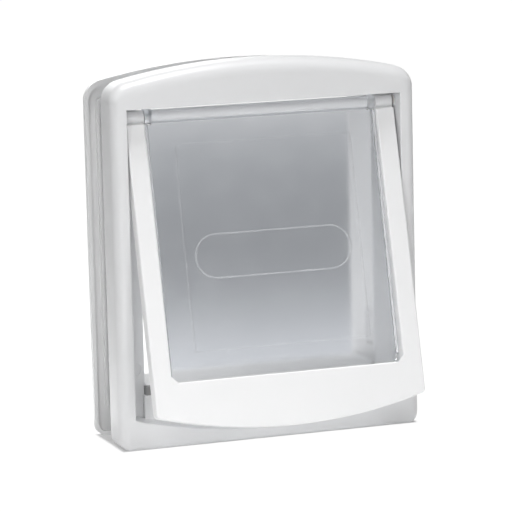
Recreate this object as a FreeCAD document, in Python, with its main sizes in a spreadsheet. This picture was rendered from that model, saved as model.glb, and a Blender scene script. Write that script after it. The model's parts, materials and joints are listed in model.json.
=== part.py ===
import FreeCAD, Part
import Sketcher
import math
import os

# Two-way cat flap for a door: an arched front frame and a shallow back frame on the two
# faces of the door, a hinged white surround that opens towards the viewer, and inside it
# a clear window that swings through to the other side. Millimetres, +X to the viewer's
# right, +Y into the door, +Z up. The origin is the middle of the plane where the front
# frame's rim meets the door, half way up the frame.

doc = FreeCAD.newDocument("cat_flap")
sheet = doc.addObject("Spreadsheet::Sheet", "Sizes")


# Sizes that carry their own formula

class Size:
    """A length with the sheet formula that gives it and its present value."""

    def __init__(self, value, text):
        self.value = float(value)
        self.text = text

    def _pair(self, other, sign, value):
        text = other.text if isinstance(other, Size) else "%r" % float(other)
        return Size(value, "(%s %s %s)" % (self.text, sign, text))

    def __add__(self, other):
        return self._pair(other, "+", self.value + float(other))

    def __sub__(self, other):
        return self._pair(other, "-", self.value - float(other))

    def __mul__(self, other):
        return self._pair(other, "*", self.value * float(other))

    def __truediv__(self, other):
        return self._pair(other, "/", self.value / float(other))

    def __neg__(self):
        return Size(-self.value, "(0 - %s)" % self.text)

    def __float__(self):
        return self.value


def root(size):
    return Size(math.sqrt(size.value), "sqrt(%s)" % size.text)


DRIVING = {
    # Front frame, on the face of the door that the viewer sees
    "frame_width": 198.0,
    "frame_height": 236.0,
    "frame_depth": 21.0,
    "arch_rise": 12.0,
    "top_corner": 13.0,
    "bottom_corner": 7.5,
    "top_round": 8.5,
    "side_round": 6.0,
    "bottom_round": 3.0,
    "frame_wall": 2.4,
    "mouth_round": 0.8,
    # Passage through the door, set in from the frame's edges
    "side_border": 22.5,
    "top_border": 26.0,
    "sill_height": 36.0,
    "passage_corner": 3.0,
    "ledge_depth": 20.4,
    "ledge_wall": 2.5,
    "sleeve_wall": 1.8,
    "door_thickness": 33.0,
    # Back frame, on the other face of the door
    "back_drop": 3.0,
    "back_depth": 6.0,
    "back_wall": 2.4,
    "back_round": 3.0,
    "collar_wall": 1.6,
    "collar_overlap": 9.0,
    "collar_gap": 0.3,
    "mouth_depth": 4.7,
    "rear_mouth_round": 1.8,
    "locating_rib": 3.0,
    "cutout_gap": 0.2,
    # Hinge
    "hinge_depth": 12.4,
    "hinge_drop": 6.0,
    "rod_radius": 1.25,
    "rod_end_gap": 0.1,
    "running_gap": 0.08,
    "bush_radius": 2.6,
    "bush_length": 4.6,
    "bush_flange": 3.6,
    "bush_flange_thickness": 0.8,
    "bush_end": 0.6,
    "bush_gap": 0.02,
    "hinge_boss": 4.2,
    "boss_end_wall": 0.8,
    # White surround of the flap
    "aperture_inset": 1.0,
    "flap_side_gap": 1.3,
    "flap_bottom_gap": 1.9,
    "surround_thickness": 6.8,
    "surround_front": 4.0,
    "arm_width": 12.2,
    "arm_top": 4.6,
    "barrel_radius": 3.3,
    "barrel_inset": 0.3,
    "surround_corner_rise": 21.1,
    "surround_bulge": 12.3,
    "surround_corner": 3.0,
    "surround_edge_round": 1.1,
    "bar_overlap": 5.2,
    "bar_wall": 2.2,
    "bar_rib": 1.4,
    "stop_web": 4.0,
    "stop_web_thickness": 1.1,
    "surround_open_angle": 14.3,
    # Clear window
    "window_gap": 2.0,
    "window_thickness": 3.0,
    "window_bottom_gap": 1.0,
    "window_corner": 2.0,
    "knuckle_radius": 2.65,
    "cheek_radius": 4.8,
    "cheek_width": 4.2,
    "cheek_gap": 0.4,
    "window_lag_angle": 1.75,
    "line_width": 0.8,
    "line_depth": 0.25,
    "border_inset": 16.0,
    "border_top_drop": 17.8,
    "oval_length": 102.0,
    "oval_height": 27.6,
    "oval_drop": 88.0,
    # Magnet, keeper and seals
    "magnet_height": 5.2,
    "magnet_front": 4.4,
    "magnet_recess": 1.2,
    "magnet_overhang": 0.5,
    "magnet_lip": 0.4,
    "shelf_margin": 1.0,
    "shelf_wall": 2.2,
    "recess_gap": 0.05,
    "keeper_thickness": 1.6,
    "keeper_height": 5.4,
    "keeper_inset": 1.0,
    "seal_width": 4.6,
    "seal_groove": 2.0,
    "seal_side_gap": 0.2,
    "seal_free_gap": 0.4,
    "seal_end": 10.0,
    "bar_seal_offset": 14.6,
    "bar_seal_inset": 12.7,
    # Fixing screws from the back frame into the front frame
    "screw_set_out": 6.0,
    "screw_set_in": 11.0,
    "screw_radius": 1.75,
    "pilot_gap": 0.03,
    "screw_boss": 5.0,
    "screw_boss_length": 9.5,
    "screw_bite": 8.0,
    "dimple_radius": 4.2,
    "dimple_depth": 0.8,
    "clearance_hole": 2.0,
    "head_radius": 3.5,
    "head_top_radius": 2.45,
    "head_height": 2.0,
    "cross_width": 0.98,
    "cross_length": 3.85,
    "cross_depth": 1.2,
    "well_radius": 4.0,
    "well_wall": 1.6,
    "well_floor": 2.0,
    "seat_step": 0.1,
    "cap_gap": 0.05,
    "cap_wall": 0.35,
    "cap_end": 1.2,
    # Ribs and catches of the front frame
    "rib_thickness": 1.4,
    "rib_setback": 3.0,
    "side_rib_pitch": 58.0,
    "top_rib_pitch": 40.0,
    "catch_height": 23.0,
    "catch_length": 9.5,
    "catch_slot": 1.2,
    "catch_base": 48.0,
    "catch_bump": 1.0,
    # Helpers: the hinge axis itself, how far joined pieces run into each other,
    # and how far a cutter runs past the face that it opens
    "on_axis": 0.0,
    "join": 0.5,
    "past": 1.0,
}

# Two edges nearer than this are taken as meeting
TOUCH = 0.01

size = {}
for row, (alias, number) in enumerate(DRIVING.items(), start=1):
    sheet.set("A%d" % row, alias)
    sheet.set("B%d" % row, str(number))
    sheet.setAlias("B%d" % row, alias)
    size[alias] = Size(number, "Sizes." + alias)


def derive(alias, formula):
    """Writes a worked-out size under the driving ones and returns it by its own name."""
    line = len(size) + 1
    sheet.set("A%d" % line, alias)
    sheet.set("B%d" % line, "=" + formula.text.replace("Sizes.", ""))
    sheet.setAlias("B%d" % line, alias)
    size[alias] = Size(formula.value, "Sizes." + alias)
    return size[alias]


half_width = derive("half_width", size["frame_width"] / 2)
base_z = derive("base_z", -size["frame_height"] / 2)
face_y = derive("face_y", -size["frame_depth"])
ledge_y = derive("ledge_y", size["ledge_depth"] - size["frame_depth"])
ledge_back_y = derive("ledge_back_y", ledge_y + size["ledge_wall"])
passage_half = derive("passage_half", half_width - size["side_border"])
sill_z = derive("sill_z", base_z + size["sill_height"])
ceiling_z = derive("ceiling_z", -base_z - size["top_border"])
hinge_y = derive("hinge_y", face_y + size["hinge_depth"])
hinge_z = derive("hinge_z", ceiling_z - size["hinge_drop"])
aperture_half = derive("aperture_half", passage_half - size["aperture_inset"])
surround_half = derive("surround_half", aperture_half + size["arm_width"])
pocket_half = derive("pocket_half", surround_half + size["flap_side_gap"])
cup_half = derive("cup_half", pocket_half + size["frame_wall"])
sleeve_half = derive("sleeve_half", passage_half + size["sleeve_wall"])
lip_y = size["door_thickness"]
rear_y = derive("rear_y", lip_y + size["back_depth"])
floor_y = derive("floor_y", rear_y - size["back_wall"])
mouth_y = derive("mouth_y", rear_y - size["mouth_depth"])
sleeve_end_y = derive("sleeve_end_y", mouth_y - size["collar_gap"])
collar_inner = derive("collar_inner", sleeve_half + size["collar_gap"])
collar_outer = derive("collar_outer", collar_inner + size["collar_wall"])
screw_x = derive("screw_x", passage_half + size["screw_set_out"])
screw_low_z = derive("screw_low_z", sill_z + size["screw_set_in"])
screw_high_z = derive("screw_high_z", ceiling_z - size["screw_set_in"])
boss_end_y = derive("boss_end_y", ledge_back_y + size["screw_boss_length"])
head_seat_y = derive("head_seat_y", mouth_y + size["seat_step"])
bore_radius = derive("bore_radius", size["rod_radius"] + size["running_gap"])
window_half = derive("window_half", aperture_half - size["window_gap"])
corner_drop = derive("corner_drop", hinge_z - base_z - size["surround_corner_rise"])
middle_drop = derive("middle_drop", corner_drop + size["surround_bulge"])
bar_top_drop = derive("bar_top_drop", hinge_z - sill_z - size["bar_overlap"])
window_drop = derive("window_drop", bar_top_drop - size["window_bottom_gap"])
surround_back = derive("surround_back", size["surround_thickness"] - size["surround_front"])
doc.recompute()


# Helpers for sketches, bodies and booleans

def new_body(label):
    body = doc.addObject("PartDesign::Body", label)
    body.Label = label
    return body


def new_sketch(body, name, role, lift=None):
    """A sketch on one of the body's own origin planes, lifted along the plane's normal."""
    sketch = body.newObject("Sketcher::SketchObject", name)
    plane = [item for item in body.Origin.OriginFeatures if item.Role == role][0]
    sketch.AttachmentSupport = [(plane, "")]
    sketch.MapMode = "FlatFace"
    if lift is not None:
        sketch.setExpression("AttachmentOffset.Base.z", lift.text)
    doc.recompute()
    return sketch


def pin(sketch, item, end, across, up):
    """Holds one end of a curve at two sheet sizes, measured from the sketch's origin."""
    for kind, place in (("DistanceX", across), ("DistanceY", up)):
        number = sketch.addConstraint(Sketcher.Constraint(kind, -1, 1, item, end, float(place)))
        sketch.setExpression("Constraints[%d]" % number, place.text)


def bind_radius(sketch, item, radius):
    number = sketch.addConstraint(Sketcher.Constraint("Radius", item, float(radius)))
    sketch.setExpression("Constraints[%d]" % number, radius.text)


def arc_between(start, finish, radius, bulge):
    """The short arc from start to finish: it turns left for bulge +1 and right for -1."""
    chord = finish.sub(start)
    rise = math.sqrt(max(radius * radius - chord.Length * chord.Length / 4, 0.0))
    left = FreeCAD.Vector(-chord.y, chord.x, 0).normalize()
    centre = (start + finish) * 0.5 + left * rise * bulge
    first, last = (start, finish) if bulge > 0 else (finish, start)
    angles = [math.atan2(p.y - centre.y, p.x - centre.x) for p in (first, last)]
    circle = Part.Circle(centre, FreeCAD.Vector(0, 0, 1), radius)
    return Part.ArcOfCircle(circle, angles[0], angles[1])


def draw_loop(sketch, corners):
    """A closed outline through pinned corners.

    Each corner is (across, up) or (across, up, radius, bulge) when an arc leads from it
    to the next corner.
    """
    points = [FreeCAD.Vector(float(c[0]), float(c[1]), 0) for c in corners]
    ends = []
    for index, corner in enumerate(corners):
        start = points[index]
        finish = points[(index + 1) % len(points)]
        if len(corner) == 4:
            item = sketch.addGeometry(arc_between(start, finish, float(corner[2]), corner[3]))
            ends.append((item, 1, 2) if corner[3] > 0 else (item, 2, 1))
        else:
            item = sketch.addGeometry(Part.LineSegment(start, finish))
            ends.append((item, 1, 2))
    for index, corner in enumerate(corners):
        item, first, last = ends[index]
        following = ends[(index + 1) % len(ends)]
        sketch.addConstraint(Sketcher.Constraint("Coincident", item, last, following[0], following[1]))
        pin(sketch, item, first, corner[0], corner[1])
        if len(corner) == 4:
            bind_radius(sketch, item, corner[2])


def draw_circle(sketch, across, up, radius):
    circle = Part.Circle(FreeCAD.Vector(float(across), float(up), 0), FreeCAD.Vector(0, 0, 1), float(radius))
    item = sketch.addGeometry(circle)
    pin(sketch, item, 3, across, up)
    bind_radius(sketch, item, radius)


def extend(body, kind, name, sketch, length, reverse):
    feature = body.newObject("PartDesign::" + kind, name)
    feature.Profile = sketch
    feature.setExpression("Length", length.text)
    feature.Reversed = reverse
    doc.recompute()
    return feature


def pad(body, name, sketch, length, reverse=False):
    return extend(body, "Pad", name, sketch, length, reverse)


def pocket(body, name, sketch, length, reverse=False):
    """Cuts a pocket and makes sure that it really took material away."""
    before = body.Shape.Volume
    feature = extend(body, "Pocket", name, sketch, length, reverse)
    if body.Shape.Volume > before - 1e-3:
        feature.Reversed = not reverse
        doc.recompute()
    if body.Shape.Volume > before - 1e-3:
        raise RuntimeError(name + " cuts nothing")
    return feature


def round_edges(body, name, radius, chosen):
    """A fillet on the edges of the body's last feature that the test picks out."""
    base = body.Tip
    names = ["Edge%d" % (n + 1) for n, edge in enumerate(base.Shape.Edges) if chosen(edge)]
    if not names:
        raise RuntimeError(name + " finds no edge")
    fillet = body.newObject("PartDesign::Fillet", name)
    fillet.Base = (base, names)
    fillet.setExpression("Radius", radius.text)
    doc.recompute()
    return fillet


def cut(label, base, tool):
    result = doc.addObject("Part::Cut", label)
    result.Base = base
    result.Tool = tool
    result.Label = label
    return result


def fuse(label, pieces):
    result = doc.addObject("Part::MultiFuse", label)
    result.Shapes = pieces
    result.Label = label
    return result


def near(one, other):
    return abs(one - float(other)) < TOUCH


# Outlines shared by several pieces, seen from the front as (across, up)

def rectangle(left, right, low, high):
    return [(left, low), (right, low), (right, high), (left, high)]


def rounded_rectangle(left, right, low, high, radius):
    return [
        (left + radius, low), (right - radius, low, radius, 1),
        (right, low + radius), (right, high - radius, radius, 1),
        (right - radius, high), (left + radius, high, radius, 1),
        (left, high - radius), (left, low + radius, radius, 1),
    ]


def arched_outline(tag, half, low, high, rise, top_corner, bottom_corner):
    """The frame's outline: straight sides, an arched top and four rounded corners."""
    arch = derive(tag + "_arch_radius", (half * half + rise * rise) / (rise * 2))
    centre_z = derive(tag + "_arch_centre", high - arch)
    inner_x = derive(tag + "_corner_x", half - top_corner)
    inner_z = derive(
        tag + "_corner_z",
        centre_z + root((arch - top_corner) * (arch - top_corner) - inner_x * inner_x),
    )
    touch_x = derive(tag + "_touch_x", inner_x * arch / (arch - top_corner))
    touch_z = derive(tag + "_touch_z", centre_z + (inner_z - centre_z) * arch / (arch - top_corner))
    return [
        (-half + bottom_corner, low), (half - bottom_corner, low, bottom_corner, 1),
        (half, low + bottom_corner), (half, inner_z, top_corner, 1),
        (touch_x, touch_z, arch, 1),
        (-touch_x, touch_z, top_corner, 1),
        (-half, inner_z), (-half, low + bottom_corner, bottom_corner, 1),
    ]


def bellied_outline(tag, half, corner_low, middle_low, high):
    """A rectangle whose lower edge bulges down in one arc."""
    belly = derive(tag + "_belly", corner_low - middle_low)
    arc = derive(tag + "_belly_radius", (half * half + belly * belly) / (belly * 2))
    return [(-half, corner_low, arc, 1), (half, corner_low), (half, high), (-half, high)]


# Worked-out places and outlines of every piece

top_z = derive("top_z", -base_z)
pocket_corner_z = derive("pocket_corner_z", hinge_z - corner_drop - size["flap_bottom_gap"])
pocket_middle_z = derive("pocket_middle_z", hinge_z - middle_drop - size["flap_bottom_gap"])
pocket_loop = bellied_outline("pocket", pocket_half, pocket_corner_z, pocket_middle_z, ceiling_z)
cup_loop = bellied_outline(
    "cup", cup_half, pocket_corner_z - size["frame_wall"],
    pocket_middle_z - size["frame_wall"], ceiling_z + size["frame_wall"],
)
passage_loop = rounded_rectangle(-passage_half, passage_half, sill_z, ceiling_z, size["passage_corner"])
sleeve_loop = rounded_rectangle(
    -sleeve_half, sleeve_half, sill_z - size["sleeve_wall"],
    ceiling_z + size["sleeve_wall"], size["passage_corner"] + size["sleeve_wall"],
)
frame_loop = arched_outline(
    "frame", half_width, base_z, top_z, size["arch_rise"], size["top_corner"], size["bottom_corner"],
)
hollow_half = derive("hollow_half", half_width - size["frame_wall"])
hollow_low = derive("hollow_low", base_z + size["frame_wall"])
hollow_high = derive("hollow_high", top_z - size["frame_wall"])
hollow_front = derive("hollow_front", face_y + size["frame_wall"])
hollow_loop = arched_outline(
    "hollow", hollow_half, hollow_low, hollow_high, size["arch_rise"],
    size["top_corner"] - size["frame_wall"], size["bottom_corner"] - size["frame_wall"],
)
outer_radii = [size["bottom_round"], size["side_round"], size["top_round"]]
inner_radii = [max(float(r) - float(size["frame_wall"]), 0.4) for r in outer_radii]
magnet_low = derive("magnet_low", sill_z - size["magnet_height"])
magnet_half = derive("magnet_half", passage_half + size["magnet_overhang"])
magnet_y = derive("magnet_y", ledge_y - size["magnet_front"])
shelf_y = derive("shelf_y", magnet_y + size["magnet_lip"])
shelf_half = derive("shelf_half", magnet_half + size["shelf_margin"])
shelf_arc = size["pocket_belly_radius"]
shelf_end_z = derive(
    "shelf_end_z",
    pocket_middle_z + shelf_arc - root(shelf_arc * shelf_arc - shelf_half * shelf_half) - size["join"],
)
shelf_loop = bellied_outline("shelf", shelf_half, shelf_end_z, pocket_middle_z - size["join"], magnet_low)
catch_low = derive("catch_low", base_z + size["catch_base"])
catch_high = derive("catch_high", catch_low + size["catch_height"])
catch_front = derive("catch_front", ledge_back_y + size["catch_slot"])
back_top = derive("back_top", top_z - size["back_drop"])
back_loop = arched_outline(
    "back", half_width, base_z, back_top, size["arch_rise"], size["top_corner"], size["bottom_corner"],
)
tray_half = derive("tray_half", half_width - size["back_wall"])
tray_low = derive("tray_low", base_z + size["back_wall"])
tray_high = derive("tray_high", back_top - size["back_wall"])
tray_loop = arched_outline(
    "tray", tray_half, tray_low, tray_high, size["arch_rise"],
    size["top_corner"] - size["back_wall"], size["bottom_corner"] - size["back_wall"],
)
collar_loop = rounded_rectangle(
    -collar_outer, collar_outer, sill_z - size["sleeve_wall"] - size["collar_gap"] - size["collar_wall"],
    ceiling_z + size["sleeve_wall"] + size["collar_gap"] + size["collar_wall"],
    size["passage_corner"] + size["sleeve_wall"] + size["collar_wall"],
)
socket_loop = rounded_rectangle(
    -collar_inner, collar_inner, sill_z - size["sleeve_wall"] - size["collar_gap"],
    ceiling_z + size["sleeve_wall"] + size["collar_gap"],
    size["passage_corner"] + size["sleeve_wall"],
)
rib_half = derive("rib_half", cup_half - size["cutout_gap"])
rib_low = derive("rib_low", pocket_corner_z - size["frame_wall"] + size["cutout_gap"])
rib_high = derive("rib_high", ceiling_z + size["frame_wall"] - size["cutout_gap"])
rib_outer = rounded_rectangle(-rib_half, rib_half, rib_low, rib_high, size["passage_corner"])
rib_inner = rounded_rectangle(
    -rib_half + size["collar_wall"], rib_half - size["collar_wall"],
    rib_low + size["collar_wall"], rib_high - size["collar_wall"], size["passage_corner"] / 2,
)
surround_open = size["surround_open_angle"]
surround_front_y = derive("surround_front_y", -size["surround_front"])
barrel_tip = derive("barrel_tip", surround_half - size["barrel_inset"])
surround_bulge = size["surround_bulge"]
surround_arc = derive(
    "surround_arc", (surround_half * surround_half + surround_bulge * surround_bulge) / (surround_bulge * 2),
)
groove_half = derive("groove_half", size["seal_width"] / 2 + size["seal_side_gap"])
arm_middle = derive("arm_middle", aperture_half + size["arm_width"] / 2)
seal_top = derive("seal_top", -size["arm_top"] - size["seal_end"])
seal_bottom = derive("seal_bottom", -bar_top_drop)
bar_seal_top = derive("bar_seal_top", -bar_top_drop - size["bar_seal_offset"])
bar_seal_bottom = derive("bar_seal_bottom", bar_seal_top - size["seal_width"])
bar_groove_top = derive("bar_groove_top", bar_seal_top + size["seal_side_gap"])
bar_groove_bottom = derive("bar_groove_bottom", bar_seal_bottom - size["seal_side_gap"])
bar_seal_half = derive("bar_seal_half", surround_half - size["bar_seal_inset"])
keeper_top = derive("keeper_top", sill_z - hinge_z)
keeper_bottom = derive("keeper_bottom", keeper_top - size["keeper_height"])
keeper_half = derive("keeper_half", magnet_half - size["keeper_inset"])
belly_top = derive("belly_top", bar_groove_bottom - size["bar_wall"])
belly_arc = derive("belly_arc", surround_arc - size["bar_wall"])
belly_centre = derive("belly_centre", surround_arc - middle_drop)
belly_half = derive(
    "belly_half",
    root(belly_arc * belly_arc - (belly_centre - belly_top) * (belly_centre - belly_top)) - size["past"],
)
belly_end = derive("belly_end", belly_centre - root(belly_arc * belly_arc - belly_half * belly_half))
window_front_y = derive("window_front_y", -size["knuckle_radius"])
knuckle_half = derive("knuckle_half", aperture_half - size["cheek_gap"] - size["cheek_width"])
cheek_tip = derive("cheek_tip", aperture_half - size["cheek_gap"])
plate_top = derive("plate_top", -size["cheek_radius"] - size["cheek_gap"])
on_axis = size["on_axis"]
join = size["join"]
past = size["past"]
border_half = derive("border_half", window_half - size["border_inset"])
border_low = derive("border_low", -window_drop + size["border_inset"])
oval_half = derive("oval_half", size["oval_length"] / 2)
oval_rise = derive("oval_rise", size["oval_height"] / 2)
oval_middle = derive("oval_middle", -size["oval_drop"])
rod_tip = derive("rod_tip", pocket_half + size["bush_length"] - size["bush_end"] - size["rod_end_gap"])
seal_root = derive("seal_root", surround_back - size["seal_groove"])
seal_tip = derive("seal_tip", ledge_y - hinge_y - size["seal_free_gap"])
bar_seal_tip = derive("bar_seal_tip", shelf_y - hinge_y - size["seal_free_gap"])
screw_tip_y = derive("screw_tip_y", boss_end_y - size["screw_bite"])
cap_outer = derive("cap_outer", size["well_radius"] - size["cap_gap"])
cap_inner = derive("cap_inner", cap_outer - size["cap_wall"])
doc.recompute()


def front_solid(label, loops, from_y, to_y):
    """A body padded along the door's depth from front-view outlines."""
    body = new_body(label)
    sketch = new_sketch(body, label + "_sketch", "XZ_Plane", -from_y)
    for loop in loops:
        draw_loop(sketch, loop)
    pad(body, label + "_pad", sketch, to_y - from_y, reverse=True)
    return body


def front_disc(label, across, up, radius, from_y, to_y):
    body = new_body(label)
    sketch = new_sketch(body, label + "_sketch", "XZ_Plane", -from_y)
    draw_circle(sketch, across, up, radius)
    pad(body, label + "_pad", sketch, to_y - from_y, reverse=True)
    return body


def side_disc(label, depth, up, radius, from_x, to_x):
    """A body padded along X from a circle in side view."""
    body = new_body(label)
    sketch = new_sketch(body, label + "_sketch", "YZ_Plane", from_x)
    draw_circle(sketch, depth, up, radius)
    pad(body, label + "_pad", sketch, to_x - from_x)
    return body


def edge_radii(shape, plane_y, low, high, sides, radii):
    """Fillet radii for the outer edges of one face: bottom, sides and arched top.

    The corner arcs pass smoothly from one radius to the next.
    """
    bottom, side, top = [float(r) for r in radii]
    chosen = []
    for number, edge in enumerate(shape.Edges, start=1):
        box = edge.BoundBox
        if not (near(box.YMin, plane_y) and near(box.YMax, plane_y)):
            continue
        reach = max(abs(box.XMin), abs(box.XMax))
        if near(box.ZMax, low):
            pair = (bottom, bottom)
        elif near(box.XMin, box.XMax) and near(reach, sides):
            pair = (side, side)
        elif near(box.ZMax, high):
            pair = (top, top)
        elif near(reach, sides):
            far = bottom if near(box.ZMin, low) else top
            rising = edge.Vertexes[0].Point.z < edge.Vertexes[-1].Point.z
            lower, upper = (far, side) if far == bottom and near(box.ZMin, low) else (side, far)
            pair = (lower, upper) if rising else (upper, lower)
        else:
            continue
        chosen.append((number, pair[0], pair[1]))
    return chosen


def rounded_block(label, base, plane_y, low, high, sides, radii):
    rounded = doc.addObject("Part::Fillet", label)
    rounded.Base = base
    rounded.Edges = edge_radii(base.Shape, plane_y, low, high, sides, radii)
    rounded.Label = label
    doc.recompute()
    return rounded


# Front frame


frame_block = front_solid("frame_block", [frame_loop], face_y, size["on_axis"])
frame_shell = rounded_block("frame_shell", frame_block, face_y, base_z, top_z, half_width, outer_radii)
hollow_block = front_solid("hollow_block", [hollow_loop], hollow_front, size["frame_wall"])
hollow_core = rounded_block(
    "hollow_core", hollow_block, hollow_front, hollow_low, hollow_high, hollow_half, inner_radii,
)
cup_block = front_solid("cup_block", [cup_loop], hollow_front - join, ledge_back_y)
sleeve_block = front_solid("sleeve_block", [sleeve_loop], ledge_y, sleeve_end_y)

frame_additions = [cup_block, sleeve_block]
frame_ribs = []
frame_removals = []

pocket_cut = front_solid("pocket_cut", [pocket_loop], face_y - past, ledge_y)
passage_cut = front_solid("passage_cut", [passage_loop], ledge_y - past, sleeve_end_y + past)

screw_places = {
    "lower_left": (-screw_x, screw_low_z),
    "lower_right": (screw_x, screw_low_z),
    "upper_left": (-screw_x, screw_high_z),
    "upper_right": (screw_x, screw_high_z),
}
for name, (at_x, at_z) in screw_places.items():
    frame_additions.append(front_disc("screw_boss_" + name, at_x, at_z, size["screw_boss"], ledge_y + past, boss_end_y))
    frame_removals.append(front_disc(
        "screw_pilot_" + name, at_x, at_z, size["screw_radius"] + size["pilot_gap"],
        boss_end_y - size["screw_bite"] - join, boss_end_y + past,
    ))
    frame_removals.append(front_disc(
        "boss_dimple_" + name, at_x, at_z, size["dimple_radius"], ledge_y - past, ledge_y + size["dimple_depth"],
    ))

for side, name in ((-1, "left"), (1, "right")):
    near_x = pocket_half + join
    hole_tip = pocket_half + size["bush_length"] + size["rod_end_gap"]
    boss_tip = hole_tip + size["boss_end_wall"]
    boss_ends = (near_x, boss_tip) if side > 0 else (-boss_tip, -near_x)
    hole_ends = (near_x - past, hole_tip) if side > 0 else (-hole_tip, -near_x + past)
    frame_additions.append(side_disc("hinge_boss_" + name, hinge_y, hinge_z, size["hinge_boss"], *boss_ends))
    frame_removals.append(side_disc(
        "hinge_hole_" + name, hinge_y, hinge_z, size["bush_radius"] + size["bush_gap"], *hole_ends,
    ))
    for level in (-1, 0, 1):
        middle = size["side_rib_pitch"] * level
        ends = (cup_half - join, hollow_half + join) if side > 0 else (-hollow_half - join, -cup_half + join)
        frame_ribs.append(front_solid(
            "side_rib_%s_%d" % (name, level + 2),
            [rectangle(ends[0], ends[1], middle - size["rib_thickness"] / 2, middle + size["rib_thickness"] / 2)],
            hollow_front - join, -size["rib_setback"],
        ))

for place in (-2, -1, 0, 1, 2):
    middle = size["top_rib_pitch"] * place
    rib_top = hollow_high - middle * middle / (size["frame_arch_radius"] * 2) + past
    frame_ribs.append(front_solid(
        "top_rib_%d" % (place + 3),
        [rectangle(
            middle - size["rib_thickness"] / 2, middle + size["rib_thickness"] / 2,
            ceiling_z + size["frame_wall"] - join, rib_top,
        )],
        hollow_front - join, -size["rib_setback"],
    ))

rib_bundle = fuse("rib_bundle", frame_ribs)
ribs_in_shell = doc.addObject("Part::Common", "ribs_in_shell")
ribs_in_shell.Base = rib_bundle
ribs_in_shell.Tool = frame_shell
frame_additions.append(ribs_in_shell)

# The sill carries the magnet in a shallow recess, on a step that stands forward of the
# ledge down to the pocket's floor and is hollow from behind
sill_step = front_solid("sill_step", [shelf_loop], shelf_y, ledge_y + past)
magnet_room = magnet_half + size["recess_gap"]
frame_removals.append(front_solid(
    "magnet_recess", [rectangle(-magnet_room, magnet_room, magnet_low, sill_z + past)],
    ledge_y - past, ledge_y + size["magnet_recess"],
))
frame_removals.append(front_solid(
    "sill_step_hollow",
    [rectangle(
        -shelf_half + size["shelf_wall"], shelf_half - size["shelf_wall"],
        pocket_corner_z, magnet_low - size["shelf_wall"],
    )],
    shelf_y + size["shelf_wall"], ledge_back_y + past,
))

# A springy catch is cut free in each side wall of the passage
for side, name in ((-1, "left"), (1, "right")):
    wall = (passage_half - past, sleeve_half + past) if side > 0 else (-sleeve_half - past, -passage_half + past)
    for end, level in (("low", catch_low), ("high", catch_high)):
        frame_removals.append(front_solid(
            "catch_slot_%s_%s" % (name, end),
            [rectangle(wall[0], wall[1], level - size["catch_slot"] / 2, level + size["catch_slot"] / 2)],
            catch_front, catch_front + size["catch_length"],
        ))

rim_hollowed = cut("rim_hollowed", frame_shell, hollow_core)
frame_joined = fuse("frame_joined", [rim_hollowed] + frame_additions)
frame_emptied = cut("frame_emptied", frame_joined, fuse("mouth_and_passage", [pocket_cut, passage_cut]))
frame_stepped = fuse("frame_stepped", [frame_emptied, sill_step])
frame_opened = cut("frame_opened", frame_stepped, fuse("frame_removed", frame_removals))
doc.recompute()

mouth = doc.addObject("Part::Fillet", "frame_mouth")
mouth.Base = frame_opened
mouth_edges = []
for number, edge in enumerate(frame_opened.Shape.Edges, start=1):
    box = edge.BoundBox
    flat = near(box.YMin, face_y) and near(box.YMax, face_y)
    reach = max(abs(box.XMin), abs(box.XMax))
    inside = reach < float(pocket_half) + TOUCH and box.ZMax < float(ceiling_z) + TOUCH
    if flat and inside:
        mouth_edges.append((number, float(size["mouth_round"]), float(size["mouth_round"])))
mouth.Edges = mouth_edges
doc.recompute()

bumps = [mouth]
for side, name in ((-1, "left"), (1, "right")):
    catch_body = new_body("catch_bump_" + name)
    bump_sketch = new_sketch(catch_body, "catch_bump_sketch_" + name, "XY_Plane", catch_low + size["catch_slot"] * 2)
    bump = size["catch_bump"]
    wall_x = (passage_half + join) * side
    tip_x = (passage_half - bump) * side
    catch_end = catch_front + size["catch_length"]
    draw_loop(bump_sketch, [
        (wall_x, catch_end - bump * 4), (tip_x, catch_end - bump * 2),
        (tip_x, catch_end - bump), (wall_x, catch_end - bump / 2),
    ])
    pad(catch_body, "catch_bump_pad_" + name, bump_sketch, size["catch_height"] - size["catch_slot"] * 4)
    bumps.append(catch_body)
front_frame = fuse("front_frame", bumps)


# Back frame

back_block = front_solid("back_block", [back_loop], lip_y, rear_y)
back_shell = rounded_block(
    "back_shell", back_block, rear_y, base_z, back_top, half_width, [size["back_round"]] * 3,
)
tray_cut = front_solid("tray_cut", [tray_loop], lip_y - past, floor_y)
back_tray = cut("back_tray", back_shell, tray_cut)

back_additions = [
    back_tray,
    front_solid("collar_block", [collar_loop], mouth_y - size["collar_overlap"], rear_y - size["back_wall"] / 2),
    front_solid("locating_rib", [rib_outer, rib_inner], floor_y - size["locating_rib"], floor_y + join),
]
back_removals = [
    front_solid("socket_cut", [socket_loop], mouth_y - size["collar_overlap"] - past, mouth_y),
    front_solid("rear_opening", [passage_loop], mouth_y - past, rear_y + past),
]
for name, (at_x, at_z) in screw_places.items():
    back_additions.append(front_disc(
        "well_cup_" + name, at_x, at_z, size["well_radius"] + size["well_wall"],
        head_seat_y - size["well_floor"], rear_y - size["back_wall"] / 2,
    ))
    back_removals.append(front_disc("well_" + name, at_x, at_z, size["well_radius"], head_seat_y, rear_y + past))
    back_removals.append(front_disc(
        "well_hole_" + name, at_x, at_z, size["clearance_hole"],
        head_seat_y - size["well_floor"] - past, head_seat_y + join,
    ))
back_joined = fuse("back_joined", back_additions)
back_removed = fuse("back_removed", back_removals)
back_opened = cut("back_opened", back_joined, back_removed)
doc.recompute()

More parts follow.
